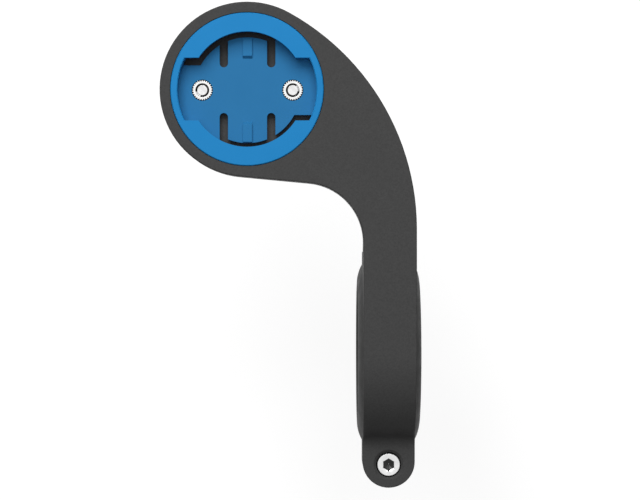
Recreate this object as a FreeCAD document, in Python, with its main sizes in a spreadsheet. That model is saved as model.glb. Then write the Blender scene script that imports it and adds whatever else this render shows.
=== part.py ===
# Out-front bike computer mount for a clamping diameter of 31.8 mm.
# Millimetres. The origin is the centre of the clamp, +X runs along its bore,
# +Y forward to the head and +Z up.
import FreeCAD, Part
import os
import Sketcher

document = FreeCAD.newDocument("bike_computer_mount")
sheet = document.addObject("Spreadsheet::Sheet", "sizes")

# Driving dimensions, one cell each
driving_sizes = {
    # Clamp ring
    "bar_diameter": 31.8,
    "ring_wall": 5.1,
    "ring_bulge": 1.2,
    "ring_flank_flat": 0.3,
    "strap_margin": 0.05,
    "split_gap": 1.6,
    # Arm, seen from above
    "arm_width": 12.1,
    "bend_radius": 56.0,
    "inner_bend_radius": 13.6,
    "shoulder_length": 15.95,
    "head_offset": 32.4,
    "head_reach": 60.25,
    "head_wall": 2.35,
    "head_floor": 2.4,
    "edge_round": 0.3,
    # Cored underside of the arm
    "arm_wall": 2.2,
    "arm_skin": 2.6,
    "core_setback": 4.6,
    "core_rib": 1.2,
    "core_rib_recess": 0.8,
    "core_rib_count": 5,
    "core_rib_pitch": 10.0,
    "core_rib_first": 13.0,
    # Hinge at the front of the clamp
    "hinge_wall": 1.1,
    "knuckle_radius": 3.2,
    "knuckle_width": 5.0,
    "knuckle_clearance": 0.4,
    "knuckle_side_gap": 0.3,
    "neck_radius": 5.0,
    "pin_diameter": 2.0,
    "pin_sink": 0.3,
    "pin_running_gap": 0.05,
    "pin_chamfer": 0.2,
    # Ears and clamp screw at the rear
    "screw_setback": 4.85,
    "tail_reach": 5.35,
    "ear_height": 7.0,
    "jaw_ear_height": 5.6,
    "ear_blend_radius": 3.5,
    "screw_head_diameter": 5.5,
    "screw_head_height": 3.0,
    "screw_head_chamfer": 0.3,
    "screw_core_diameter": 2.5,
    "screw_socket_width": 2.5,
    "screw_socket_depth": 1.6,
    "screw_tail": 0.5,
    "screw_head_sink": 0.2,
    "screw_recess_gap": 0.15,
    "screw_recess_chamfer": 0.6,
    "screw_hole_diameter": 3.4,
    "jaw_hole_diameter": 3.8,
    "nut_width": 5.5,
    "nut_height": 2.4,
    "nut_sink": 0.2,
    "nut_gap": 0.1,
    "thread_depth": 0.25,
    # Quarter-turn receiver in the head
    "receiver_gap": 0.1,
    "receiver_edge": 0.2,
    "receiver_wall": 1.6,
    "opening_radius": 13.05,
    "lobe_reach": 2.7,
    "lobe_width": 14.2,
    "lip_thickness": 1.6,
    "floor_depth": 4.4,
    "floor_thickness": 1.4,
    "boss_drop": 0.8,
    "finger_inset": 1.0,
    "track_ledge": 1.45,
    "slot_offset": 5.4,
    "slot_width": 1.9,
    "slot_start": 5.2,
    "detent_width": 2.1,
    "detent_start": 7.2,
    "detent_ramp": 0.6,
    "detent_height": 0.7,
    "detent_tip_gap": 0.25,
    # Threaded inserts and their screws
    "insert_inset": 5.45,
    "insert_diameter": 4.75,
    "insert_proud": 0.1,
    "insert_gap": 0.03,
    "insert_boss_wall": 1.2,
    "base_screw_head_diameter": 5.5,
    "base_screw_head_height": 1.6,
    "base_screw_head_rim": 0.2,
    "base_screw_socket_width": 2.0,
    "base_screw_socket_depth": 1.1,
    "base_screw_hole_gap": 0.25,
}
for row, (alias, size) in enumerate(driving_sizes.items(), start=1):
    sheet.set(f"A{row}", alias)
    sheet.set(f"B{row}", str(size))
    sheet.setAlias(f"B{row}", alias)
document.recompute()

# Lengths that follow from the driving dimensions
BAR_RADIUS = "sizes.bar_diameter / 2"
RING_RADIUS = f"({BAR_RADIUS} + sizes.ring_wall)"
ARM_HALF = "sizes.arm_width / 2"
RING_HALF = f"({ARM_HALF} + sizes.ring_bulge)"
FLOOR_BOTTOM = "(sizes.floor_depth + sizes.floor_thickness)"
RECEIVER_HEIGHT = f"({FLOOR_BOTTOM} + sizes.boss_drop)"
LOBE_RADIUS = "(sizes.opening_radius + sizes.lobe_reach)"
RECEIVER_RADIUS = f"({LOBE_RADIUS} + sizes.receiver_wall)"
TRACK_RADIUS = "(sizes.opening_radius - sizes.finger_inset)"
HEAD_RADIUS = f"({RECEIVER_RADIUS} + sizes.receiver_gap + sizes.head_wall)"
ARM_DEPTH = f"({RECEIVER_HEIGHT} + sizes.head_floor)"
ARM_TOP = RING_RADIUS
ARM_BOTTOM = f"({ARM_TOP} - {ARM_DEPTH})"
SPLIT_HALF = "sizes.split_gap / 2"
SCREW_REACH = f"({RING_RADIUS} + sizes.screw_setback)"
TAIL_END = f"({SCREW_REACH} + sizes.tail_reach)"
TAIL_CENTRE = f"({TAIL_END} - {ARM_HALF})"
HINGE_REACH = f"({BAR_RADIUS} + sizes.hinge_wall + sizes.knuckle_radius)"
HINGE_FRONT = f"({HINGE_REACH} + sizes.knuckle_radius)"
HINGE_BACK = f"({HINGE_REACH} - sizes.knuckle_radius)"
LUG_CLEAR = "(sizes.knuckle_radius + sizes.knuckle_clearance)"
NUT_BORE = "(sizes.screw_core_diameter / 2 + sizes.thread_depth)"
SCREW_SEAT = "(sizes.ear_height - sizes.screw_head_height - sizes.screw_head_sink)"
NUT_BOTTOM = "(sizes.jaw_ear_height - sizes.nut_sink)"
SCREW_END = f"({NUT_BOTTOM} + sizes.screw_tail)"
BEND_CENTRE_X = f"({ARM_HALF} - sizes.bend_radius)"
BEND_CENTRE_Y = (
    f"(sizes.head_reach - sqrt((sizes.bend_radius - {HEAD_RADIUS})^2"
    f" - ({BEND_CENTRE_X} + sizes.head_offset)^2))"
)
INNER_CENTRE_X = f"-({ARM_HALF} + sizes.inner_bend_radius)"
INNER_CENTRE_Y = (
    f"(sizes.head_reach - sqrt(({HEAD_RADIUS} + sizes.inner_bend_radius)^2"
    f" + sizes.shoulder_length^2 - ({INNER_CENTRE_X} + sizes.head_offset)^2))"
)
INSERT_TOP = "(sizes.floor_depth - sizes.insert_proud)"
INSERT_REACH = f"({LOBE_RADIUS} - sizes.insert_inset)"
# How far a cut runs on past the surface that it opens
BEYOND = "1"
# Points closer than this count as touching
TOUCH = 1e-3


def value(expression):
    """The number that an expression on the sheet has now."""
    return float(sheet.evalExpression(expression))


def vector(x, y, z=0.0):
    return FreeCAD.Vector(x, y, z)


def new_body(label):
    body = document.addObject("PartDesign::Body", label)
    body.Label = label
    return body


def place_object(item, x="0", y="0", z="0"):
    """Bind where a sub-part stands to the sheet."""
    for axis, expression in (("x", x), ("y", y), ("z", z)):
        item.setExpression(f"Placement.Base.{axis}", expression)


def origin_feature(body, role):
    return next(item for item in body.Origin.OriginFeatures if item.Role == role)


def new_sketch(body, label, plane, right="0", up="0", lift="0"):
    """A sketch on one of the body's origin planes, moved along the plane and lifted off it."""
    sketch = body.newObject("Sketcher::SketchObject", label)
    sketch.AttachmentSupport = [(origin_feature(body, plane), "")]
    sketch.MapMode = "FlatFace"
    for axis, expression in (("x", right), ("y", up), ("z", lift)):
        if expression != "0":
            sketch.setExpression(f"AttachmentOffset.Base.{axis}", expression)
    return sketch


def hold(sketch, kind, references, expression):
    """Add a dimension to a sketch and bind it to the sheet."""
    constraint = Sketcher.Constraint(kind, *references, value(expression))
    index = sketch.addConstraint(constraint)
    sketch.setExpression(f"Constraints[{index}]", expression)


def hold_point(sketch, element, point, x=None, y=None):
    if x is not None:
        hold(sketch, "DistanceX", (-1, 1, element, point), x)
    if y is not None:
        hold(sketch, "DistanceY", (-1, 1, element, point), y)


def draw_circle(sketch, x, y, radius):
    circle = Part.Circle(vector(value(x), value(y)), vector(0, 0, 1), value(radius))
    element = sketch.addGeometry(circle)
    hold_point(sketch, element, 3, x, y)
    hold(sketch, "Radius", (element,), radius)


def line_to(x, y):
    return {"end": (x, y)}


def arc_to(x, y, centre, clockwise=False):
    return {"end": (x, y), "centre": centre, "clockwise": clockwise}


def draw_outline(sketch, start, steps):
    """Draw a closed outline of lines and arcs, whose corners are held by the sheet.

    The last step is a line. The end of an arc is held along one axis only, because its
    centre and its start already fix the circle that it lies on.
    """
    corners = [start] + [step["end"] for step in steps]
    points = [vector(value(x), value(y)) for x, y in corners]
    points[-1] = points[0]
    ends = []
    for step, here, there in zip(steps, points, points[1:]):
        if "centre" not in step:
            element = sketch.addGeometry(Part.LineSegment(here, there))
            ends.append((element, 1, 2))
            continue
        centre = vector(value(step["centre"][0]), value(step["centre"][1]))
        circle = Part.Circle(centre, vector(0, 0, 1), (here - centre).Length)
        first, last = (there, here) if step["clockwise"] else (here, there)
        arc = Part.ArcOfCircle(circle, circle.parameter(first), circle.parameter(last))
        element = sketch.addGeometry(arc)
        ends.append((element, 2, 1) if step["clockwise"] else (element, 1, 2))
        hold_point(sketch, element, 3, *step["centre"])
    for index, (element, begin, _) in enumerate(ends):
        before, _, finish = ends[index - 1]
        sketch.addConstraint(Sketcher.Constraint("Coincident", before, finish, element, begin))
        previous = steps[index - 1]
        if index and "centre" in previous:
            centre = vector(value(previous["centre"][0]), value(previous["centre"][1]))
            spoke = points[index] - centre
            if abs(spoke.y) > abs(spoke.x):
                hold_point(sketch, element, begin, x=corners[index][0])
            else:
                hold_point(sketch, element, begin, y=corners[index][1])
        else:
            hold_point(sketch, element, begin, *corners[index])


def draw_polygon(sketch, corners):
    draw_outline(sketch, corners[0], [line_to(*corner) for corner in corners[1:] + corners[:1]])


def draw_rectangle(sketch, left, right, bottom, top):
    draw_polygon(sketch, [(left, bottom), (right, bottom), (right, top), (left, top)])


def draw_hexagon(sketch, width):
    """A hexagon about the sketch's origin, with two flats square to its x axis."""
    half = f"({width}) / 2"
    corner = f"({width}) / sqrt(3)"
    low = f"({corner}) / 2"
    draw_polygon(sketch, [
        (half, f"-{low}"), (half, low), ("0", corner),
        (f"-{half}", low), (f"-{half}", f"-{low}"), ("0", f"-({corner})"),
    ])


def prism(body, kind, label, sketch, length, symmetric=False, reverse=False):
    """A Pad or a Pocket of a sketch."""
    feature = body.newObject(f"PartDesign::{kind}", label)
    feature.Profile = sketch
    feature.setExpression("Length", length)
    feature.SideType = "Symmetric" if symmetric else "One side"
    feature.Reversed = reverse
    return feature


def turning(body, kind, label, sketch, axis="V_Axis", angle=360.0, reverse=False):
    """A Revolution or a Groove of a sketch about one of its own axes."""
    feature = body.newObject(f"PartDesign::{kind}", label)
    feature.Profile = sketch
    feature.ReferenceAxis = (sketch, [axis])
    feature.Angle = angle
    feature.Reversed = reverse
    return feature


def repeat_round(body, label, originals, axis, count, angle):
    """Copies of features round an axis: evenly over the whole turn, or at a fixed step."""
    pattern = body.newObject("PartDesign::PolarPattern", label)
    pattern.Originals = originals
    pattern.Axis = axis
    if angle is None:
        pattern.Angle = 360.0
    else:
        pattern.Mode = "Spacing"
        pattern.setExpression("Offset", angle)
    pattern.setExpression("Occurrences", count)
    body.Tip = pattern


def edges_where(shape, test):
    """Names of the edges whose points, five along each, all pass a test."""
    names = []
    for number, edge in enumerate(shape.Edges, start=1):
        low, high = edge.ParameterRange
        points = [edge.valueAt(low + (high - low) * part / 4) for part in range(5)]
        if all(test(point) for point in points) and not lies_along_x(points):
            names.append(f"Edge{number}")
    return names


def lies_along_x(points):
    chord = points[-1] - points[0]
    return abs(chord.x) > TOUCH and abs(chord.y) + abs(chord.z) < TOUCH


def soften(body, kind, label, test, size_name, size):
    """A Fillet or a Chamfer on the edges of the body, as it stands, that pass a test."""
    document.recompute()
    base = body.Tip
    feature = body.newObject(f"PartDesign::{kind}", label)
    feature.Base = (base, edges_where(base.Shape, test))
    feature.setExpression(size_name, size)


# Shapes that more than one piece shares

def draw_ring_profile(sketch):
    """Half section of the clamp ring: straight at the bore, then bulging in to the strap."""
    flank_start = f"({BAR_RADIUS} + sizes.ring_flank_flat)"
    shoulder = f"({RING_RADIUS} - sizes.edge_round - sizes.strap_margin)"
    rise = f"({shoulder} - {flank_start})"
    draw_in = f"({RING_HALF} - {ARM_HALF})"
    bulge = f"(({rise}^2 + {draw_in}^2) / (2 * {draw_in}))"
    draw_outline(sketch, (f"-{RING_HALF}", BAR_RADIUS), [
        line_to(RING_HALF, BAR_RADIUS),
        line_to(RING_HALF, flank_start),
        arc_to(ARM_HALF, shoulder, (f"{RING_HALF} - {bulge}", flank_start)),
        line_to(f"-{ARM_HALF}", shoulder),
        arc_to(f"-{RING_HALF}", flank_start, (f"{bulge} - {RING_HALF}", flank_start)),
        line_to(f"-{RING_HALF}", BAR_RADIUS),
    ])


def blend_points(height):
    """Where the hollow between the ring and an ear begins and ends, and its centre."""
    centre_z = f"({height} + sizes.ear_blend_radius)"
    reach = f"({RING_RADIUS} + sizes.ear_blend_radius)"
    centre_y = f"sqrt({reach}^2 - {centre_z}^2)"
    on_ring = (f"-{centre_y} * {RING_RADIUS} / {reach}", f"{centre_z} * {RING_RADIUS} / {reach}")
    on_ear = (f"-{centre_y}", height)
    return on_ring, on_ear, (f"-{centre_y}", centre_z)


def draw_arm_outline(sketch, inset):
    """The arm and head from above, every edge moved inwards by the inset."""
    half = f"({ARM_HALF} - {inset})"
    head_radius = f"({HEAD_RADIUS} - {inset})"
    bend_radius = f"(sizes.bend_radius - {inset})"
    inner_radius = f"(sizes.inner_bend_radius + {inset})"
    head = vector(-value("sizes.head_offset"), value("sizes.head_reach"))
    bend = vector(value(BEND_CENTRE_X), value(BEND_CENTRE_Y))
    inner = vector(value(INNER_CENTRE_X), value(INNER_CENTRE_Y))
    # First guess at the points where the curves meet; the tangencies below settle them
    top = bend + (head - bend).normalize() * value(bend_radius)
    apart = inner - head
    reach = value(head_radius) + value(inner_radius)
    side = value("sizes.shoulder_length")
    towards = vector(apart.x * reach + apart.y * side, apart.y * reach - apart.x * side)
    towards.normalize()
    head_touch = head + towards * value(head_radius)
    inner_touch = inner - towards * value(inner_radius)
    left_top = vector(-value(half), inner.y)
    left_low = vector(-value(half), 0)
    right_low = vector(value(half), 0)
    right_top = vector(value(half), bend.y)

    def arc_between(centre, first, last):
        circle = Part.Circle(centre, vector(0, 0, 1), (first - centre).Length)
        return Part.ArcOfCircle(circle, circle.parameter(first), circle.parameter(last))

    outer_bend = sketch.addGeometry(arc_between(bend, right_top, top))
    head_arc = sketch.addGeometry(arc_between(head, top, head_touch))
    shoulder = sketch.addGeometry(Part.LineSegment(head_touch, inner_touch))
    inner_bend = sketch.addGeometry(arc_between(inner, left_top, inner_touch))
    left = sketch.addGeometry(Part.LineSegment(left_top, left_low))
    low = sketch.addGeometry(Part.LineSegment(left_low, right_low))
    right = sketch.addGeometry(Part.LineSegment(right_low, right_top))
    for references in (
        (outer_bend, 2, head_arc, 1), (head_arc, 2, shoulder, 1), (shoulder, 2, inner_bend, 2),
        (inner_bend, 1, left, 1), (right, 2, outer_bend, 1),
    ):
        sketch.addConstraint(Sketcher.Constraint("Tangent", *references))
    sketch.addConstraint(Sketcher.Constraint("Coincident", left, 2, low, 1))
    sketch.addConstraint(Sketcher.Constraint("Coincident", low, 2, right, 1))
    sketch.addConstraint(Sketcher.Constraint("Vertical", left))
    sketch.addConstraint(Sketcher.Constraint("Vertical", right))
    sketch.addConstraint(Sketcher.Constraint("Horizontal", low))
    hold_point(sketch, head_arc, 3, "-sizes.head_offset", "sizes.head_reach")
    hold(sketch, "Radius", (head_arc,), head_radius)
    hold(sketch, "Radius", (outer_bend,), bend_radius)
    hold(sketch, "Radius", (inner_bend,), inner_radius)
    hold_point(sketch, left, 1, f"-{half}", INNER_CENTRE_Y)
    hold_point(sketch, right, 1, half, "0")


def round_tail(body):
    """Cut the end of an ear to a half round."""
    sketch = new_sketch(body, "tail_round", "XY_Plane")
    side = f"({ARM_HALF} + {BEYOND})"
    end = f"-({TAIL_END} + {BEYOND})"
    draw_outline(sketch, (f"-{ARM_HALF}", f"-{TAIL_CENTRE}"), [
        arc_to(ARM_HALF, f"-{TAIL_CENTRE}", ("0", f"-{TAIL_CENTRE}")),
        line_to(side, f"-{TAIL_CENTRE}"),
        line_to(side, end),
        line_to(f"-{side}", end),
        line_to(f"-{side}", f"-{TAIL_CENTRE}"),
        line_to(f"-{ARM_HALF}", f"-{TAIL_CENTRE}"),
    ])
    prism(body, "Pocket", "tail_corners", sketch, f"4 * {RING_RADIUS}", symmetric=True)


def cut_bore(body):
    sketch = new_sketch(body, "bore_circle", "YZ_Plane")
    draw_circle(sketch, "0", "0", BAR_RADIUS)
    prism(body, "Pocket", "bar_bore", sketch, f"4 * {RING_HALF}", symmetric=True)


# The one-piece arm: upper half of the clamp, arm and head

def make_mount_body():
    body = new_body("mount_moulding")

    ring = new_sketch(body, "ring_profile", "XY_Plane")
    draw_ring_profile(ring)
    turning(body, "Revolution", "upper_half_ring", ring, "H_Axis", 180.0)
    split = new_sketch(body, "split_line", "XY_Plane", lift=SPLIT_HALF)
    wide = f"2 * {RING_RADIUS}"
    draw_rectangle(split, f"-{wide}", wide, f"-{wide}", wide)
    prism(body, "Pocket", "split", split, "sizes.split_gap")

    spine = new_sketch(body, "spine_profile", "YZ_Plane")
    on_ring, on_ear, hollow = blend_points("sizes.ear_height")
    neck_start = f"({HINGE_FRONT} + sizes.neck_radius)"
    neck_foot = f"({ARM_BOTTOM} - sizes.neck_radius)"
    draw_outline(spine, (f"-{TAIL_END}", SPLIT_HALF), [
        line_to(HINGE_BACK, SPLIT_HALF),
        line_to(HINGE_BACK, "0"),
        arc_to(HINGE_FRONT, "0", (HINGE_REACH, "0")),
        line_to(HINGE_FRONT, neck_foot),
        arc_to(neck_start, ARM_BOTTOM, (neck_start, neck_foot), clockwise=True),
        line_to("0", ARM_TOP),
        arc_to(*on_ring, ("0", "0")),
        arc_to(*on_ear, hollow, clockwise=True),
        line_to(f"-{TAIL_END}", "sizes.ear_height"),
        line_to(f"-{TAIL_END}", SPLIT_HALF),
    ])
    prism(body, "Pad", "spine", spine, "sizes.arm_width", symmetric=True)

    arm = new_sketch(body, "arm_outline", "XY_Plane", lift=ARM_BOTTOM)
    draw_arm_outline(arm, "0")
    prism(body, "Pad", "arm", arm, ARM_DEPTH)
    round_tail(body)
    round_top_edges(body)
    cut_bore(body)

    slot = new_sketch(body, "knuckle_slot_profile", "YZ_Plane")
    back = f"({HINGE_REACH} - {LUG_CLEAR})"
    front = f"({HINGE_FRONT} + {BEYOND})"
    draw_outline(slot, (back, "0"), [
        arc_to(HINGE_REACH, LUG_CLEAR, (HINGE_REACH, "0"), clockwise=True),
        line_to(front, LUG_CLEAR),
        line_to(front, f"-{LUG_CLEAR}"),
        line_to(back, f"-{LUG_CLEAR}"),
        line_to(back, "0"),
    ])
    slot_width = "sizes.knuckle_width + 2 * sizes.knuckle_side_gap"
    prism(body, "Pocket", "knuckle_slot", slot, slot_width, symmetric=True)
    pin = new_sketch(body, "pin_circle", "YZ_Plane")
    draw_circle(pin, HINGE_REACH, "0", "sizes.pin_diameter / 2")
    prism(body, "Pocket", "pin_hole", pin, "2 * sizes.arm_width", symmetric=True)

    make_ear_screw_hole(body)
    make_head_pocket(body)
    return body


def round_top_edges(body):
    """Round the edge that runs round the head, along the arm, over the ring and round the ear."""
    ring_radius = value(RING_RADIUS)
    top = value(ARM_TOP)
    ear = value("sizes.ear_height")
    blend = value("sizes.ear_blend_radius")
    centre_z = ear + blend
    centre_y = -((ring_radius + blend) ** 2 - centre_z ** 2) ** 0.5

    def on_top(point):
        if point.y > -TOUCH:
            return abs(point.z - top) < TOUCH
        on_ring = abs((point.y ** 2 + point.z ** 2) ** 0.5 - ring_radius) < TOUCH
        off_hollow = ((point.y - centre_y) ** 2 + (point.z - centre_z) ** 2) ** 0.5
        on_hollow = abs(off_hollow - blend) < TOUCH
        on_ear = abs(point.z - ear) < TOUCH and point.y < centre_y + TOUCH
        return point.z > ear - TOUCH and (on_ring or on_hollow or on_ear)

    soften(body, "Fillet", "top_edge_round", on_top, "Radius", "sizes.edge_round")


def make_ear_screw_hole(body):
    """Through hole, counterbore and lead-in for the clamp screw, turned as one cut."""
    sketch = new_sketch(body, "screw_hole_profile", "YZ_Plane", right=f"-{SCREW_REACH}")
    hole = "sizes.screw_hole_diameter / 2"
    recess = "(sizes.screw_head_diameter / 2 + sizes.screw_recess_gap)"
    above = f"sizes.ear_height + {BEYOND}"
    draw_polygon(sketch, [
        ("0", f"-{BEYOND}"), (hole, f"-{BEYOND}"), (hole, SCREW_SEAT), (recess, SCREW_SEAT),
        (recess, "sizes.ear_height - sizes.screw_recess_chamfer"),
        (f"{recess} + sizes.screw_recess_chamfer", "sizes.ear_height"),
        (f"{recess} + sizes.screw_recess_chamfer", above), ("0", above),
    ])
    turning(body, "Groove", "screw_hole", sketch)


def make_head_pocket(body):
    """Round pocket for the receiver, and the two countersunk holes in its floor."""
    seat = new_sketch(body, "receiver_seat_circle", "XY_Plane", lift=ARM_TOP)
    draw_circle(
        seat, "-sizes.head_offset", "sizes.head_reach", f"{RECEIVER_RADIUS} + sizes.receiver_gap",
    )
    prism(body, "Pocket", "receiver_seat", seat, RECEIVER_HEIGHT)
    for side, sign in (("left", "-"), ("right", "+")):
        sketch = new_sketch(
            body, f"base_screw_hole_profile_{side}", "XZ_Plane",
            right=f"-sizes.head_offset {sign} {INSERT_REACH}",
            up=ARM_BOTTOM, lift="-sizes.head_reach",
        )
        gap = "sizes.base_screw_hole_gap"
        head = f"(sizes.base_screw_head_diameter / 2 + {gap})"
        core = f"(sizes.screw_core_diameter / 2 + {gap})"
        rim = "sizes.base_screw_head_rim"
        above = f"{ARM_DEPTH} + {BEYOND}"
        draw_polygon(sketch, [
            ("0", f"-{BEYOND}"), (head, f"-{BEYOND}"), (head, rim),
            (core, "sizes.base_screw_head_height"), (core, above), ("0", above),
        ])
        turning(body, "Groove", f"base_screw_hole_{side}", sketch)


def make_underside_core():
    """The hollow under the arm, with its cross ribs left standing."""
    body = new_body("underside_core")
    outline = new_sketch(body, "core_outline", "XY_Plane", lift=ARM_BOTTOM)
    draw_arm_outline(outline, "sizes.arm_wall")
    prism(body, "Pad", "core", outline, f"{ARM_DEPTH} - sizes.arm_skin")
    keep = new_sketch(body, "head_circle", "XY_Plane")
    draw_circle(keep, "-sizes.head_offset", "sizes.head_reach", HEAD_RADIUS)
    prism(body, "Pocket", "head_kept", keep, f"4 * {RING_RADIUS}", symmetric=True)
    neck = new_sketch(body, "neck_box", "XY_Plane")
    core_start = f"({HINGE_FRONT} + sizes.neck_radius + sizes.core_setback)"
    draw_rectangle(neck, "-sizes.arm_width", "sizes.arm_width", f"-{BEYOND}", core_start)
    prism(body, "Pocket", "neck_kept", neck, f"4 * {RING_RADIUS}", symmetric=True)
    rib = new_sketch(
        body, "rib_section", "XY_Plane", right=BEND_CENTRE_X, up=BEND_CENTRE_Y,
        lift=f"{ARM_BOTTOM} + sizes.core_rib_recess",
    )
    rib.AttachmentOffset = FreeCAD.Placement(
        rib.AttachmentOffset.Base, FreeCAD.Rotation(vector(0, 0, 1), value("sizes.core_rib_first"))
    )
    rib.setExpression("AttachmentOffset.Rotation.Angle", "sizes.core_rib_first")
    half = "sizes.core_rib / 2"
    draw_rectangle(rib, f"{HEAD_RADIUS} / 2", "sizes.bend_radius", f"-{half}", half)
    first = prism(body, "Pocket", "rib", rib, ARM_DEPTH, reverse=True)
    repeat_round(body, "ribs", [first], (rib, ["N_Axis"]), "sizes.core_rib_count", "sizes.core_rib_pitch")
    return body


# The lower half of the clamp

def make_clamp_jaw():
    body = new_body("clamp_jaw")
    ring = new_sketch(body, "ring_profile", "XY_Plane")
    draw_ring_profile(ring)
    turning(body, "Revolution", "lower_half_ring", ring, "H_Axis", 180.0, reverse=True)
    split = new_sketch(body, "split_line", "XY_Plane", lift=f"-{SPLIT_HALF}")
    wide = f"2 * {RING_RADIUS}"
    draw_rectangle(split, f"-{wide}", wide, f"-{wide}", wide)
    prism(body, "Pocket", "split", split, "sizes.split_gap", reverse=True)

    strap = new_sketch(body, "strap_profile", "YZ_Plane")
    on_ring, on_ear, hollow = blend_points("sizes.jaw_ear_height")
    draw_outline(strap, (f"-{TAIL_END}", f"-{SPLIT_HALF}"), [
        line_to(f"-{TAIL_END}", "-sizes.jaw_ear_height"),
        line_to(on_ear[0], f"-{on_ear[1]}"),
        arc_to(on_ring[0], f"-({on_ring[1]})", (hollow[0], f"-{hollow[1]}"), clockwise=True),
        arc_to(f"sqrt({RING_RADIUS}^2 - ({SPLIT_HALF})^2)", f"-{SPLIT_HALF}", ("0", "0")),
        line_to(f"-{TAIL_END}", f"-{SPLIT_HALF}"),
    ])
    prism(body, "Pad", "strap", strap, "sizes.arm_width", symmetric=True)
    round_tail(body)
    round_jaw_edges(body)

    clear = new_sketch(body, "lug_circle", "YZ_Plane", lift="sizes.knuckle_width / 2")
    draw_circle(clear, HINGE_REACH, "0", LUG_CLEAR)
    lug = prism(body, "Pocket", "lug_clearance", clear, f"2 * {RING_HALF}", reverse=True)
    other = body.newObject("PartDesign::Mirrored", "lug_clearance_mirrored")
    other.Originals = [lug]
    other.MirrorPlane = (origin_feature(body, "YZ_Plane"), [""])
    body.Tip = other

    knuckle = new_sketch(body, "knuckle_profile", "YZ_Plane")
    lean = f"(({RING_RADIUS} - sizes.knuckle_radius) / {HINGE_REACH})"
    drop = f"sqrt(1 - {lean}^2)"
    middle = f"({BAR_RADIUS} + sizes.ring_wall / 2)"
    draw_outline(knuckle, (HINGE_BACK, "0"), [
        arc_to(
            f"{HINGE_REACH} + sizes.knuckle_radius * {lean}",
            f"-sizes.knuckle_radius * {drop}", (HINGE_REACH, "0"), clockwise=True,
        ),
        line_to(f"{RING_RADIUS} * {lean}", f"-{RING_RADIUS} * {drop}"),
        line_to(f"{middle} * {lean}", f"-{middle} * {drop}"),
        line_to(HINGE_BACK, "0"),
    ])
    prism(body, "Pad", "knuckle", knuckle, "sizes.knuckle_width", symmetric=True)
    cut_bore(body)
    pin = new_sketch(body, "pin_circle", "YZ_Plane")
    draw_circle(pin, HINGE_REACH, "0", "sizes.pin_diameter / 2 + sizes.pin_running_gap")
    prism(body, "Pocket", "pin_hole", pin, "2 * sizes.arm_width", symmetric=True)

    hole = new_sketch(body, "screw_hole_circle", "XY_Plane")
    draw_circle(hole, "0", f"-{SCREW_REACH}", "sizes.jaw_hole_diameter / 2")
    prism(body, "Pocket", "screw_hole", hole, f"2 * {RING_RADIUS}", symmetric=True)
    nut_seat = "(sizes.jaw_ear_height - sizes.nut_sink - sizes.nut_height)"
    nut = new_sketch(body, "nut_hexagon", "XY_Plane", up=f"-{SCREW_REACH}", lift=f"-{nut_seat}")
    draw_hexagon(nut, "sizes.nut_width + 2 * sizes.nut_gap")
    prism(body, "Pocket", "nut_pocket", nut, "sizes.jaw_ear_height")
    return body


def round_jaw_edges(body):
    """Round the outer edges of the jaw, round the ring and the ear."""
    ring_radius = value(RING_RADIUS)
    ear = value("sizes.jaw_ear_height")
    blend = value("sizes.ear_blend_radius")
    centre_z = -(ear + blend)
    centre_y = -((ring_radius + blend) ** 2 - centre_z ** 2) ** 0.5

    def on_outside(point):
        on_ring = abs((point.y ** 2 + point.z ** 2) ** 0.5 - ring_radius) < TOUCH
        off_hollow = ((point.y - centre_y) ** 2 + (point.z - centre_z) ** 2) ** 0.5
        on_hollow = abs(off_hollow - blend) < TOUCH
        on_ear = abs(point.z + ear) < TOUCH and point.y < centre_y + TOUCH
        return on_ring or on_hollow or on_ear

    soften(body, "Fillet", "outer_edge_round", on_outside, "Radius", "sizes.edge_round")


# Hinge pin, clamp screw and nut

def make_hinge_pin():
    body = new_body("hinge_pin")
    place_object(body, y=HINGE_REACH)
    profile = new_sketch(body, "pin_profile", "XY_Plane")
    half = f"({ARM_HALF} - sizes.pin_sink)"
    radius = "sizes.pin_diameter / 2"
    cut = "sizes.pin_chamfer"
    draw_polygon(profile, [
        (f"-{half}", "0"), (half, "0"), (half, f"{radius} - {cut}"), (f"{half} - {cut}", radius),
        (f"{cut} - {half}", radius), (f"-{half}", f"{radius} - {cut}"),
    ])
    turning(body, "Revolution", "pin", profile, "H_Axis")
    return body


def make_clamp_screw():
    """Socket head screw, standing on the seat of its counterbore."""
    body = new_body("clamp_screw")
    place_object(body, y=f"-{SCREW_REACH}", z=SCREW_SEAT)
    profile = new_sketch(body, "screw_profile", "XZ_Plane")
    core = "sizes.screw_core_diameter / 2"
    head = "sizes.screw_head_diameter / 2"
    top = "sizes.screw_head_height"
    cut = "sizes.screw_head_chamfer"
    end = f"-({SCREW_SEAT} + {SCREW_END})"
    draw_polygon(profile, [
        ("0", end), (f"{core} - {cut}", end), (core, f"{end} + {cut}"), (core, "0"), (head, "0"),
        (head, f"{top} - {cut}"), (f"{head} - {cut}", top), ("0", top),
    ])
    turning(body, "Revolution", "screw", profile)
    socket = new_sketch(body, "socket_hexagon", "XY_Plane", lift=top)
    draw_hexagon(socket, "sizes.screw_socket_width")
    prism(body, "Pocket", "socket", socket, "sizes.screw_socket_depth")
    return body


def make_clamp_nut():
    body = new_body("clamp_nut")
    place_object(body, y=f"-{SCREW_REACH}", z=f"-{NUT_BOTTOM}")
    outline = new_sketch(body, "nut_hexagon", "XY_Plane")
    draw_hexagon(outline, "sizes.nut_width")
    draw_circle(outline, "0", "0", NUT_BORE)
    prism(body, "Pad", "nut", outline, "sizes.nut_height")
    return body


# The quarter-turn receiver

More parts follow.
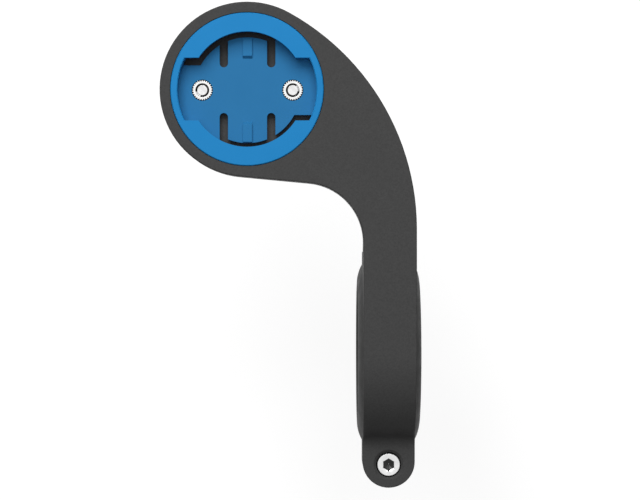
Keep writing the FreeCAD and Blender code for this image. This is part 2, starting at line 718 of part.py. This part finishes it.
def make_receiver():
    """Bayonet socket: two lips over a track, two stops, and a floor with two spring fingers."""
    body = new_body("receiver")
    place_object(body, "-sizes.head_offset", "sizes.head_reach", ARM_TOP)
    rim = new_sketch(body, "rim_circle", "XY_Plane")
    draw_circle(rim, "0", "0", RECEIVER_RADIUS)
    prism(body, "Pad", "disc", rim, RECEIVER_HEIGHT, reverse=True)

    opening = new_sketch(body, "opening_outline", "XY_Plane")
    lobe_y = "sizes.lobe_width / 2"
    lip_x = f"sqrt(sizes.opening_radius^2 - ({lobe_y})^2)"
    lobe_x = f"sqrt({LOBE_RADIUS}^2 - ({lobe_y})^2)"
    centre = ("0", "0")
    draw_outline(opening, (lip_x, lobe_y), [
        arc_to(f"-{lip_x}", lobe_y, centre),
        line_to(f"-{lobe_x}", lobe_y),
        arc_to(f"-{lobe_x}", f"-{lobe_y}", centre),
        line_to(f"-{lip_x}", f"-{lobe_y}"),
        arc_to(lip_x, f"-{lobe_y}", centre),
        line_to(lobe_x, f"-{lobe_y}"),
        arc_to(lobe_x, lobe_y, centre),
        line_to(lip_x, lobe_y),
    ])
    prism(body, "Pocket", "opening", opening, "sizes.floor_depth")
    soften(body, "Chamfer", "rim_edge", lambda point: abs(point.z) < TOUCH, "Size", "sizes.receiver_edge")

    cut_track(body)
    cut_finger_slots(body)
    cut_underside(body)
    add_detents(body)
    return body


def cut_track(body):
    """The track under each lip, open below for the mould's core and ending at a stop."""
    track = new_sketch(body, "track_outline", "XY_Plane", lift="-sizes.lip_thickness")
    floor_y = "(sizes.lobe_width / 2 - sizes.track_ledge)"
    stop_x = "(sizes.slot_offset + sizes.slot_width / 2)"
    centre = ("0", "0")
    inner_start = f"-sqrt({TRACK_RADIUS}^2 - {floor_y}^2)"
    outer_start = f"-sqrt({LOBE_RADIUS}^2 - {floor_y}^2)"
    draw_outline(track, (inner_start, floor_y), [
        arc_to(stop_x, f"sqrt({TRACK_RADIUS}^2 - {stop_x}^2)", centre, clockwise=True),
        line_to(stop_x, f"sqrt({LOBE_RADIUS}^2 - {stop_x}^2)"),
        arc_to(outer_start, floor_y, centre),
        line_to(inner_start, floor_y),
    ])
    first = prism(body, "Pocket", "track", track, RECEIVER_HEIGHT)
    repeat_round(body, "tracks", [first], (track, ["N_Axis"]), "2", None)


def cut_finger_slots(body):
    """Four slots with round inner ends, which free a spring finger under each lip."""
    slots = new_sketch(body, "finger_slots", "XY_Plane", lift="-sizes.floor_depth")
    half = "sizes.slot_width / 2"
    end_y = "(sizes.slot_start + sizes.slot_width / 2)"
    for side in ("-", ""):
        middle = f"{side}sizes.slot_offset"
        draw_outline(slots, (f"{middle} - {half}", end_y), [
            arc_to(middle, "sizes.slot_start", (middle, end_y)),
            arc_to(f"{middle} + {half}", end_y, (middle, end_y)),
            line_to(f"{middle} + {half}", TRACK_RADIUS),
            line_to(f"{middle} - {half}", TRACK_RADIUS),
            line_to(f"{middle} - {half}", end_y),
        ])
    first = prism(body, "Pocket", "finger_slot", slots, RECEIVER_HEIGHT)
    repeat_round(body, "finger_slots_all", [first], (slots, ["N_Axis"]), "2", None)


def cut_underside(body):
    """Thin the floor from below, round the bosses that carry the threaded inserts."""
    relief = new_sketch(body, "floor_relief", "XY_Plane", lift=f"-{RECEIVER_HEIGHT}")
    boss = "sizes.insert_diameter / 2 + sizes.insert_boss_wall"
    draw_circle(relief, "0", "0", LOBE_RADIUS)
    draw_circle(relief, f"-{INSERT_REACH}", "0", boss)
    draw_circle(relief, INSERT_REACH, "0", boss)
    prism(body, "Pocket", "floor_relief_cut", relief, "sizes.boss_drop", reverse=True)
    holes = new_sketch(body, "insert_holes", "XY_Plane")
    bore = "sizes.insert_diameter / 2 + sizes.insert_gap"
    draw_circle(holes, f"-{INSERT_REACH}", "0", bore)
    draw_circle(holes, INSERT_REACH, "0", bore)
    prism(body, "Pocket", "insert_bores", holes, f"2 * {RECEIVER_HEIGHT}")


def add_detents(body):
    """A ramped rib in the middle of each spring finger."""
    ramp = new_sketch(body, "detent_profile", "YZ_Plane", up="-sizes.floor_depth")
    inside = "-sizes.floor_thickness / 2"
    end = f"({TRACK_RADIUS} - sizes.detent_tip_gap)"
    draw_polygon(ramp, [
        ("sizes.detent_start", inside), (end, inside), (end, "sizes.detent_height"),
        ("sizes.detent_start + sizes.detent_ramp", "sizes.detent_height"), ("sizes.detent_start", "0"),
    ])
    first = prism(body, "Pad", "detent", ramp, "sizes.detent_width", symmetric=True)
    axis = (origin_feature(body, "Z_Axis"), [""])
    repeat_round(body, "detents", [first], axis, "2", None)


# Threaded inserts in the receiver's floor and the screws that hold it down

def make_insert(side, sign):
    body = new_body(f"knurled_nut_{side}")
    place_object(
        body, f"-sizes.head_offset {sign} {INSERT_REACH}", "sizes.head_reach",
        f"{ARM_TOP} - {RECEIVER_HEIGHT}",
    )
    outline = new_sketch(body, "insert_circles", "XY_Plane")
    draw_circle(outline, "0", "0", "sizes.insert_diameter / 2")
    draw_circle(outline, "0", "0", NUT_BORE)
    prism(body, "Pad", "insert", outline, f"{RECEIVER_HEIGHT} - {INSERT_TOP}")
    return body


def make_base_screw(side, sign):
    """Countersunk screw, flush under the head and with its end level with the insert."""
    body = new_body(f"receiver_screw_{side}")
    place_object(
        body, f"-sizes.head_offset {sign} {INSERT_REACH}", "sizes.head_reach", ARM_BOTTOM,
    )
    profile = new_sketch(body, "screw_profile", "XZ_Plane")
    core = "sizes.screw_core_diameter / 2"
    head = "sizes.base_screw_head_diameter / 2"
    end = f"({ARM_DEPTH} - {INSERT_TOP})"
    cut = "sizes.screw_head_chamfer"
    draw_polygon(profile, [
        ("0", "0"), (head, "0"), (head, "sizes.base_screw_head_rim"),
        (core, "sizes.base_screw_head_height"), (core, f"{end} - {cut}"), (f"{core} - {cut}", end),
        ("0", end),
    ])
    turning(body, "Revolution", "screw", profile)
    socket = new_sketch(body, "socket_hexagon", "XY_Plane")
    draw_hexagon(socket, "sizes.base_screw_socket_width")
    prism(body, "Pocket", "socket", socket, "sizes.base_screw_socket_depth", reverse=True)
    return body


def cut_core_from(body, core):
    """The finished moulding: the solid body less the hollow under its arm."""
    finished = document.addObject("Part::Cut", "mount_body")
    finished.Base = body
    finished.Tool = core
    finished.Label = "mount_body"
    return finished


pieces = [
    cut_core_from(make_mount_body(), make_underside_core()),
    make_clamp_jaw(),
    make_hinge_pin(),
    make_clamp_screw(),
    make_clamp_nut(),
    make_receiver(),
]
for side_name, side_sign in (("left", "-"), ("right", "+")):
    pieces.append(make_insert(side_name, side_sign))
    pieces.append(make_base_screw(side_name, side_sign))
document.recompute()

# Every object has to be sound before a file is written
failed = [item.Name for item in document.Objects if {"Invalid", "Error"} & set(item.State)]
if failed:
    raise RuntimeError(f"failed: {failed}")
for piece in pieces:
    if piece.Shape.isNull() or not piece.Shape.isValid():
        raise RuntimeError(f"{piece.Label} has no sound shape")

os.makedirs("parts", exist_ok=True)
for piece in pieces:
    piece.Shape.exportStep(f"parts/{piece.Label}.step")
    print(piece.Label, len(piece.Shape.Solids), "solid", round(piece.Shape.Volume, 2), "mm3")
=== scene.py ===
"""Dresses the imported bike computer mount: finishes, cut threads, knurls, studio light and camera."""

import math

import bmesh
import bpy
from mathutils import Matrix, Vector


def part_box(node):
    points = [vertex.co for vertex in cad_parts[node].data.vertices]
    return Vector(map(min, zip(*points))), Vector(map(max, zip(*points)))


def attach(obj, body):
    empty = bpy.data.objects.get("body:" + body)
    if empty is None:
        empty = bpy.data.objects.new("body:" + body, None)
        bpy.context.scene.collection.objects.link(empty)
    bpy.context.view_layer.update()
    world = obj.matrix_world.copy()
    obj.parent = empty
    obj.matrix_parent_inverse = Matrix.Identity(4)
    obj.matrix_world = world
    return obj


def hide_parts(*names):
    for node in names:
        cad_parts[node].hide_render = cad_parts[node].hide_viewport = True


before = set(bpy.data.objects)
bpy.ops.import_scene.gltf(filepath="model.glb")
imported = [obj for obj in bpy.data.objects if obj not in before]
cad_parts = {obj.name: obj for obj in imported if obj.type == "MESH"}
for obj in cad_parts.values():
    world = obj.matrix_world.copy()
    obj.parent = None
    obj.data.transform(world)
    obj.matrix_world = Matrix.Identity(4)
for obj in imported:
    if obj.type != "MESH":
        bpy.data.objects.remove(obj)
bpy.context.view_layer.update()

MM = 0.001

# M3 thread: the crest and core of a screw, and the bore and groove of a nut
THREAD_PITCH = 0.5 * MM
THREAD_CREST = 1.47 * MM
THREAD_CORE = 1.25 * MM
NUT_BORE = 1.5 * MM
NUT_GROOVE = 1.62 * MM

# How finely the turned pieces are divided
THREAD_STEPS = 7
KNURL_TEETH = 26
SEGMENTS = 72
FINE_SEGMENTS = 6 * KNURL_TEETH
SHARP_EDGE = math.radians(28)

# Where the thread of each base screw runs out, as seen from above, and over how wide an angle; away from
# it the thread and the insert's bore are painted in shade
RUN_OUTS = {"left": math.radians(218), "right": math.radians(18)}
RUN_OUT_HALF = math.radians(32)

# Heights between which the receiver's colour changes from its rim colour to a darker floor, which is
# painted shade in the recess
FLOOR_SHADE_BELOW = 17.2 * MM
RIM_COLOUR_ABOVE = 19.2 * MM

# The camera stands straight above, as in the photograph
CAMERA_PLACE = (-0.01589, 0.02385, 0.620)
CAMERA_LENS = 149.0
CAMERA_SENSOR = 36.0

FLOOR_HEIGHT = -0.075
FLOOR_SIZE = 8.0
WORLD_FILL = 0.07


# Turned metal pieces, built from rings of points about their own axis

def hexagon_reach(flats, angle):
    """Distance from the centre to the side of a hexagon with two flats square to x."""
    sector = math.radians(60)
    return flats / 2 / math.cos((angle + sector / 2) % sector - sector / 2)


def ring(radius, height, count=SEGMENTS):
    """Points round the axis. Radius and height are numbers, or functions of the angle."""
    points = []
    for step in range(count):
        angle = 2 * math.pi * step / count
        reach = radius(angle) if callable(radius) else radius
        level = height(angle) if callable(height) else height
        points.append((reach * math.cos(angle), reach * math.sin(angle), level))
    return points


def fine_rings(profile):
    """Finely divided rings from pairs of radius and height."""
    return [ring(radius, height, FINE_SEGMENTS) for radius, height in profile]


def knurled(radius, depth):
    """Radius of a straight knurl: pointed teeth that stand in from the radius by the depth."""
    def reach(angle):
        phase = angle * KNURL_TEETH / (2 * math.pi) % 1
        return radius - depth * abs(2 * phase - 1)
    return reach


def hexagonal(flats):
    """Radius of a hexagon."""
    return lambda angle: hexagon_reach(flats, angle)


def thread_rings(bottom, top, count, start=0.0, inner=THREAD_CORE, outer=THREAD_CREST):
    """Rings of a right-hand thread, which fades in over one turn and is cut off at the top."""
    root_share = 0.15
    flank_share = 0.6
    rings = []
    total = math.ceil((top - bottom) / THREAD_PITCH * THREAD_STEPS)
    for step in range(total + 1):
        height = bottom + (top - bottom) * step / total
        grown = min(1.0, (height - bottom) / THREAD_PITCH)

        def reach(angle, height=height, grown=grown):
            phase = ((height - top) / THREAD_PITCH - (angle - start) / (2 * math.pi)) % 1
            flank = 1 - abs(2 * phase - 1)
            rise = min(1.0, max(0.0, flank - root_share) / flank_share)
            return inner + (outer - inner) * grown * rise

        rings.append(ring(reach, height, count))
    return rings


def skin(name, rings, hollow=False, darkened=None):
    """A closed mesh over rings of points. A hollow one joins its last ring to its first.

    The faces above ring number band take the second material where darkened(band, angle) says so.
    """
    count = len(rings[0])
    mesh = bpy.data.meshes.new(name)
    shape = bmesh.new()
    rows = [[shape.verts.new(point) for point in points] for points in rings]
    pairs = list(zip(rows, rows[1:]))
    if hollow:
        pairs.append((rows[-1], rows[0]))
    for band, (low, high) in enumerate(pairs):
        for step in range(count):
            following = (step + 1) % count
            face = shape.faces.new((low[step], low[following], high[following], high[step]))
            if darkened is not None and darkened(band, 2 * math.pi * step / count):
                face.material_index = 1
    if not hollow:
        shape.faces.new(rows[0])
        shape.faces.new(rows[-1])
    bmesh.ops.recalc_face_normals(shape, faces=shape.faces)
    shape.to_mesh(mesh)
    shape.free()
    mesh.shade_smooth()
    mesh.set_sharp_from_angle(angle=SHARP_EDGE)
    piece = bpy.data.objects.new(name, mesh)
    bpy.context.scene.collection.objects.link(piece)
    return piece


def dress(piece, node, body, materials):
    """Put a piece on its node's axis, in place of the node."""
    low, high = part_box(node)
    piece.location = ((low.x + high.x) / 2, (low.y + high.y) / 2, 0)
    for material in materials:
        piece.data.materials.append(material)
    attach(piece, body)
    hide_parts(node)


def socket_profile(flats, mouth, depth, side):
    """Radii and heights of a hexagon socket, from its mouth in to its drilled point."""
    lead = 0.15 * MM
    point = 0.45 * MM
    return [
        (flats / math.sqrt(3) + lead, mouth),
        (hexagonal(flats), mouth - side * lead),
        (hexagonal(flats), mouth - side * depth),
        (flats / 2 * 0.98, mouth - side * (depth + 0.02 * MM)),
        (0.05 * MM, mouth - side * (depth + point)),
    ]


def make_clamp_screw(materials):
    """Socket head cap screw with a knurled head and a cut thread."""
    low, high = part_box("clamp_screw")
    head = (high.x - low.x) / 2
    tip, top = low.z, high.z
    seat = top - 3.0 * MM
    chamfer = 0.25 * MM
    tooth = 0.1 * MM
    rings = [ring(THREAD_CORE - chamfer, tip, FINE_SEGMENTS)]
    rings += thread_rings(tip + chamfer, seat - 0.1 * MM, FINE_SEGMENTS)
    rings += fine_rings([
        (THREAD_CORE, seat),
        (head - chamfer, seat),
        (head - tooth, seat + chamfer),
        (knurled(head, tooth), seat + chamfer + tooth),
        (knurled(head, tooth), top - 2.2 * chamfer),
        (head - tooth, top - 1.8 * chamfer),
        (head - 1.2 * tooth, top - 0.8 * chamfer),
        (head - 1.7 * tooth, top - 0.25 * chamfer),
        (head - chamfer, top),
    ])
    socket = len(rings)
    rings += fine_rings(socket_profile(2.5 * MM, top, 1.3 * MM, 1))
    # The socket's walls and drilled point take the second, dark metal: painted shade in the socket
    screw = skin("cap_screw", rings, darkened=lambda band, angle: band > socket)
    dress(screw, "clamp_screw", "screw", materials)


def make_clamp_nut(materials):
    """Hexagon nut, chamfered on both faces, with the mouths of its thread countersunk."""
    low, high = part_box("clamp_nut")
    flats = high.x - low.x
    mouth = 0.2 * MM
    flat_face = flats / 2 * 0.96
    slope = math.tan(math.radians(30))

    def chamfer_drop(angle):
        return (hexagon_reach(flats, angle) - flat_face) * slope

    rings = [
        ring(NUT_BORE + mouth, low.z),
        ring(flat_face, low.z),
        ring(hexagonal(flats), lambda angle: low.z + chamfer_drop(angle)),
        ring(hexagonal(flats), lambda angle: high.z - chamfer_drop(angle)),
        ring(flat_face, high.z),
        ring(NUT_BORE + mouth, high.z),
    ]
    groove = thread_rings(low.z + mouth, high.z - mouth, SEGMENTS, inner=NUT_BORE, outer=NUT_GROOVE)
    rings += reversed(groove)
    dress(skin("hexagon_nut", rings, hollow=True), "clamp_nut", "jaw", materials)


def off_run_out(angle, run_out):
    """Whether an angle lies clear of the place where a thread runs out."""
    off = (angle - run_out + math.pi) % (2 * math.pi) - math.pi
    return abs(off) > RUN_OUT_HALF


def make_insert(side, materials):
    """Knurled threaded insert with a waist, pressed into the receiver's floor."""
    node = f"knurled_nut_{side}"
    low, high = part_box(node)
    outer = (high.x - low.x) / 2
    mouth = 0.08 * MM
    edge = 0.06 * MM
    tooth = 0.37 * MM
    waist = outer - 1.3 * tooth
    waist_low = (low.z + high.z) / 2 - 0.25 * MM
    waist_high = (low.z + high.z) / 2 + 0.25 * MM
    rings = fine_rings([
        (NUT_BORE, low.z),
        (outer - 1.5 * tooth, low.z),
        (knurled(outer, tooth), low.z + tooth),
        (knurled(outer, tooth), waist_low - tooth),
        (waist, waist_low),
        (waist, waist_high),
        (knurled(outer, tooth), waist_high + tooth),
        (knurled(outer, tooth), high.z - edge),
        (knurled(outer - 0.05 * MM, tooth), high.z),
        (NUT_BORE + mouth, high.z),
        (NUT_BORE, high.z - mouth),
    ])
    top_face = len(rings) - 3

    # The insert's bottom and knurled sides, and its mouth and bore away from the thread's run-out, take
    # the dark metal: painted shade
    def in_shade(band, angle):
        return band < top_face - 1 or (band > top_face and off_run_out(angle, RUN_OUTS[side]))

    insert = skin(f"insert_{side}", rings, hollow=True, darkened=in_shade)
    dress(insert, node, "mount", materials)


def make_base_screw(side, materials):
    """Countersunk socket screw, whose cut thread shows in the insert's mouth."""
    node = f"receiver_screw_{side}"
    low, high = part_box(node)
    head = (high.x - low.x) / 2
    bottom, tip = low.z, high.z
    edge = 0.08 * MM
    rim = 0.2 * MM
    cone_top = bottom + 1.6 * MM
    chamfer = 0.12 * MM
    socket = socket_profile(2.0 * MM, bottom, 0.9 * MM, -1)
    rings = [ring(radius, height) for radius, height in reversed(socket)]
    rings += [
        ring(head - edge, bottom),
        ring(head, bottom + edge),
        ring(head, bottom + rim),
        ring(THREAD_CORE, cone_top),
    ]
    thread = len(rings)
    rings += thread_rings(cone_top + 0.1 * MM, tip - chamfer, SEGMENTS, start=RUN_OUTS[side])
    rings += [ring(THREAD_CORE, tip - 0.95 * chamfer), ring(THREAD_CORE - chamfer, tip)]
    end_face = len(rings) - 1

    # The thread's faces, away from its run-out, take the dark metal: painted shade in the groove
    def in_groove(band, angle):
        return thread <= band < end_face and off_run_out(angle, RUN_OUTS[side])

    dress(skin(f"base_screw_{side}", rings, darkened=in_groove), node, "mount", materials)


# Helpers for the node trees of the materials

def new_material(name):
    material = bpy.data.materials.new(name)
    material.use_nodes = True
    tree = material.node_tree
    return material, tree, tree.nodes["Principled BSDF"]


def object_space(tree):
    return tree.nodes.new("ShaderNodeTexCoord").outputs["Object"]


def separate(tree, vector):
    """The three coordinates of a vector, as sockets by name."""
    node = tree.nodes.new("ShaderNodeSeparateXYZ")
    tree.links.new(vector, node.inputs["Vector"])
    return node.outputs


def noise(tree, place, scale, detail=2.0):
    texture = tree.nodes.new("ShaderNodeTexNoise")
    texture.inputs["Scale"].default_value = scale
    texture.inputs["Detail"].default_value = detail
    tree.links.new(place, texture.inputs["Vector"])
    return texture.outputs["Fac"]


def cells(tree, place, scale):
    texture = tree.nodes.new("ShaderNodeTexVoronoi")
    texture.feature = "SMOOTH_F1"
    texture.inputs["Scale"].default_value = scale
    tree.links.new(place, texture.inputs["Vector"])
    return texture.outputs["Distance"]


def remap(tree, value, from_low, from_high, to_low, to_high):
    node = tree.nodes.new("ShaderNodeMapRange")
    for name, number in (
        ("From Min", from_low), ("From Max", from_high), ("To Min", to_low), ("To Max", to_high),
    ):
        node.inputs[name].default_value = number
    tree.links.new(value, node.inputs["Value"])
    return node.outputs["Result"]


def calculate(tree, operation, first, second=None):
    """A Math node on sockets or numbers."""
    node = tree.nodes.new("ShaderNodeMath")
    node.operation = operation
    for socket, term in zip(node.inputs, (first, second)):
        if isinstance(term, (int, float)):
            socket.default_value = term
        elif term is not None:
            tree.links.new(term, socket)
    return node.outputs["Value"]


def mix_colours(tree, factor, first, second):
    """Mix two colours, each a socket or an RGB triple."""
    node = tree.nodes.new("ShaderNodeMix")
    node.data_type = "RGBA"
    tree.links.new(factor, node.inputs["Factor"])
    for socket, colour in ((node.inputs[6], first), (node.inputs[7], second)):
        if isinstance(colour, tuple):
            socket.default_value = (*colour, 1.0)
        else:
            tree.links.new(colour, socket)
    return node.outputs[2]


def bump(tree, height, distance, strength, normal):
    node = tree.nodes.new("ShaderNodeBump")
    node.inputs["Distance"].default_value = distance
    node.inputs["Strength"].default_value = strength
    tree.links.new(height, node.inputs["Height"])
    tree.links.new(normal, node.inputs["Normal"])
    return node.outputs["Normal"]


def soft_edge(tree, radius):
    """A normal that rounds every sharp edge a little."""
    node = tree.nodes.new("ShaderNodeBevel")
    node.samples = 4
    node.inputs["Radius"].default_value = radius
    return node.outputs["Normal"]


def seen_directly(tree):
    """1 for camera, glossy and transmission rays, and 0 for the light that falls on matt surfaces."""
    light = tree.nodes.new("ShaderNodeLightPath")
    seen = calculate(tree, "MAXIMUM", light.outputs["Is Camera Ray"], light.outputs["Is Glossy Ray"])
    return calculate(tree, "MAXIMUM", seen, light.outputs["Is Transmission Ray"])


def grey(level):
    return (level, level, level)


# Materials

def make_nylon():
    """Black glass-filled nylon with the fine grain of a spark-eroded mould."""
    material, tree, surface = new_material("moulded_nylon")
    place = object_space(tree)
    cloud = noise(tree, place, 90, 4.0)
    fleck = noise(tree, place, 2600, 3.0)
    grain = cells(tree, place, 3600)
    tone = mix_colours(tree, cloud, grey(0.059), grey(0.068))
    speck = remap(tree, fleck, 0.35, 0.7, 0.0, 1.0)
    colour = mix_colours(tree, speck, tone, grey(0.053))
    tree.links.new(colour, surface.inputs["Base Color"])
    scuff = noise(tree, place, 420, 5.0)
    tree.links.new(remap(tree, scuff, 0.3, 0.7, 0.46, 0.6), surface.inputs["Roughness"])
    surface.inputs["Specular IOR Level"].default_value = 0.07
    rounded = soft_edge(tree, 0.12 * MM)
    grained = bump(tree, grain, 0.02 * MM, 0.35, rounded)
    tree.links.new(bump(tree, cloud, 0.05 * MM, 0.06, grained), surface.inputs["Normal"])
    return material


def make_receiver_plastic():
    """Blue satin plastic, with painted shade on the floor below its rim, which is darker than the rim."""
    material, tree, surface = new_material("receiver_plastic")
    place = object_space(tree)
    cloud = noise(tree, place, 140, 3.0)
    grain = noise(tree, place, 5200, 2.0)
    rim_colour = mix_colours(tree, cloud, (0.014, 0.216, 0.520), (0.018, 0.236, 0.560))
    # Painted shade: the floor of the recess takes a darker blue than the rim
    painted_floor_shade = mix_colours(tree, cloud, (0.021, 0.162, 0.366), (0.026, 0.182, 0.398))
    depth = remap(tree, separate(tree, place)["Z"], FLOOR_SHADE_BELOW, RIM_COLOUR_ABOVE, 1.0, 0.0)
    tree.links.new(mix_colours(tree, depth, rim_colour, painted_floor_shade), surface.inputs["Base Color"])
    tree.links.new(remap(tree, cloud, 0.3, 0.7, 0.38, 0.5), surface.inputs["Roughness"])
    surface.inputs["Specular IOR Level"].default_value = 0.12
    rounded = soft_edge(tree, 0.1 * MM)
    tree.links.new(bump(tree, grain, 0.008 * MM, 0.3, rounded), surface.inputs["Normal"])
    return material


def make_turned_metal(name, dark, light, roughness):
    """Metal with the fine rings that a lathe leaves, about the piece's own axis."""
    material, tree, surface = new_material(name)
    place = object_space(tree)
    spot = separate(tree, place)
    across = calculate(tree, "MULTIPLY", spot["X"], spot["X"])
    along = calculate(tree, "MULTIPLY", spot["Y"], spot["Y"])
    reach = calculate(tree, "SQRT", calculate(tree, "ADD", across, along))
    rings = tree.nodes.new("ShaderNodeTexNoise")
    rings.noise_dimensions = "1D"
    rings.inputs["Scale"].default_value = 9000
    tree.links.new(reach, rings.inputs["W"])
    smear = noise(tree, place, 900, 3.0)
    tree.links.new(mix_colours(tree, smear, dark, light), surface.inputs["Base Color"])
    surface.inputs["Metallic"].default_value = 1.0
    tree.links.new(remap(tree, smear, 0.3, 0.7, roughness, roughness + 0.12), surface.inputs["Roughness"])
    rounded = soft_edge(tree, 0.05 * MM)
    marks = bump(tree, rings.outputs["Fac"], 0.004 * MM, 0.35, rounded)
    tree.links.new(marks, surface.inputs["Normal"])
    return material


def make_floor_material():
    """White paper: the camera sees it as white, apart from the object's shadow."""
    material, tree, surface = new_material("white_floor")
    surface.inputs["Base Color"].default_value = (*grey(0.4), 1.0)
    surface.inputs["Roughness"].default_value = 0.9
    surface.inputs["Specular IOR Level"].default_value = 0.0
    surface.inputs["Emission Color"].default_value = (*grey(1.0), 1.0)
    glow = calculate(tree, "MULTIPLY", seen_directly(tree), 0.76)
    tree.links.new(glow, surface.inputs["Emission Strength"])
    return material


# Studio

def make_floor():
    mesh = bpy.data.meshes.new("floor")
    half = FLOOR_SIZE / 2
    corners = [(-half, -half), (half, -half), (half, half), (-half, half)]
    mesh.from_pydata([(x, y, FLOOR_HEIGHT) for x, y in corners], [], [(0, 1, 2, 3)])
    mesh.materials.append(make_floor_material())
    floor = bpy.data.objects.new("floor", mesh)
    bpy.context.scene.collection.objects.link(floor)


def make_world():
    """White where a camera, glossy or transmission ray meets it, and a weak fill elsewhere."""
    world = bpy.data.worlds.new("studio")
    world.use_nodes = True
    bpy.context.scene.world = world
    tree = world.node_tree
    shade = tree.nodes["Background"]
    shade.inputs["Strength"].default_value = WORLD_FILL
    white = tree.nodes.new("ShaderNodeBackground")
    for background in (shade, white):
        background.inputs["Color"].default_value = (*grey(1.0), 1.0)
    mix = tree.nodes.new("ShaderNodeMixShader")
    tree.links.new(seen_directly(tree), mix.inputs["Fac"])
    tree.links.new(shade.outputs["Background"], mix.inputs[1])
    tree.links.new(white.outputs["Background"], mix.inputs[2])
    tree.links.new(mix.outputs["Shader"], tree.nodes["World Output"].inputs["Surface"])


def add_softbox(name, place, aim, width, height, power):
    lamp = bpy.data.lights.new(name, "AREA")
    lamp.shape = "RECTANGLE"
    lamp.size = width
    lamp.size_y = height
    lamp.energy = power
    holder = bpy.data.objects.new(name, lamp)
    holder.location = place
    direction = Vector(aim) - Vector(place)
    holder.rotation_euler = direction.to_track_quat("-Z", "Y").to_euler()
    bpy.context.scene.collection.objects.link(holder)
    return holder


def make_lamps():
    """A key light from the front, and a fill from above that leaves no glint of its own."""
    add_softbox(
        "front_softbox", place=(-0.10, 0.50, 0.60), aim=(0, 0.02, 0), width=0.60, height=0.40, power=4.25,
    )
    fill = add_softbox(
        "overhead_fill", place=(-0.06, 0.18, 0.70), aim=(-0.01, 0.02, 0), width=0.5, height=0.5, power=2.1,
    )
    fill.visible_glossy = False


def make_camera():
    data = bpy.data.cameras.new("camera")
    data.lens = CAMERA_LENS
    data.sensor_width = CAMERA_SENSOR
    data.clip_start = 0.01
    data.clip_end = 50.0
    camera = bpy.data.objects.new("camera", data)
    camera.location = CAMERA_PLACE
    bpy.context.scene.collection.objects.link(camera)
    bpy.context.scene.camera = camera


nylon = make_nylon()
blue = make_receiver_plastic()
steel = make_turned_metal("turned_steel", grey(0.68), grey(0.82), roughness=0.2)
nickel = make_turned_metal("bright_nickel", (0.86, 0.86, 0.85), (0.93, 0.93, 0.92), roughness=0.16)
# Dark metal for faces in hollows: painted shade in sockets, thread grooves and between knurl teeth
painted_shade = make_turned_metal("painted_shade_steel", grey(0.012), grey(0.05), roughness=0.22)

for node_name, node_material in (
    ("mount_body", nylon), ("clamp_jaw", nylon), ("hinge_pin", steel), ("receiver", blue),
):
    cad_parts[node_name].material_slots[0].material = node_material

make_clamp_screw((steel, painted_shade))
make_clamp_nut((steel,))
for side_name in RUN_OUTS:
    make_insert(side_name, (nickel, painted_shade))
    make_base_screw(side_name, (steel, painted_shade))

make_floor()
make_world()
make_lamps()
make_camera()
bpy.context.scene.view_settings.view_transform = "Standard"
